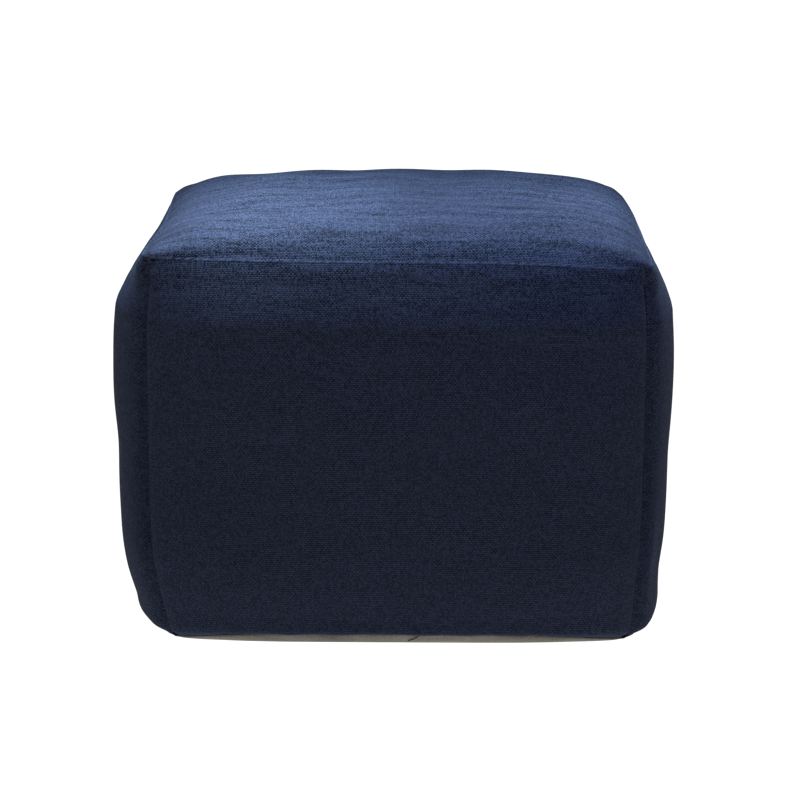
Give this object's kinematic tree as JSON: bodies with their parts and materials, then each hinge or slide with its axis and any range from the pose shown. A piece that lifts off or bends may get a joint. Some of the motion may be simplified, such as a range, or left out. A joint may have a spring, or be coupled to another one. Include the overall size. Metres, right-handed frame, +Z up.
{
  "type": "square pouf",
  "caption": "Soft filled square floor pouf in navy slub-weave cloth, with a crowned top, pinched corner seams and a beige base panel, used as a low seat or footrest.",
  "frame": {"origin": "on the floor, under the middle of the pouf's box", "axes": "+Z up, +X to the right and -Y to the front as the pouf is seen"},
  "size_m": [0.499, 0.5118, 0.3755],
  "materials": {
    "navy_cloth": "plain slub weave, matt, heathered navy",
    "beige_cloth": "plain weave, matt, unbleached beige"
  },
  "bodies": {
    "root": {"pouf_body": "navy_cloth", "base_panel": "beige_cloth"}
  },
  "joints": []
}
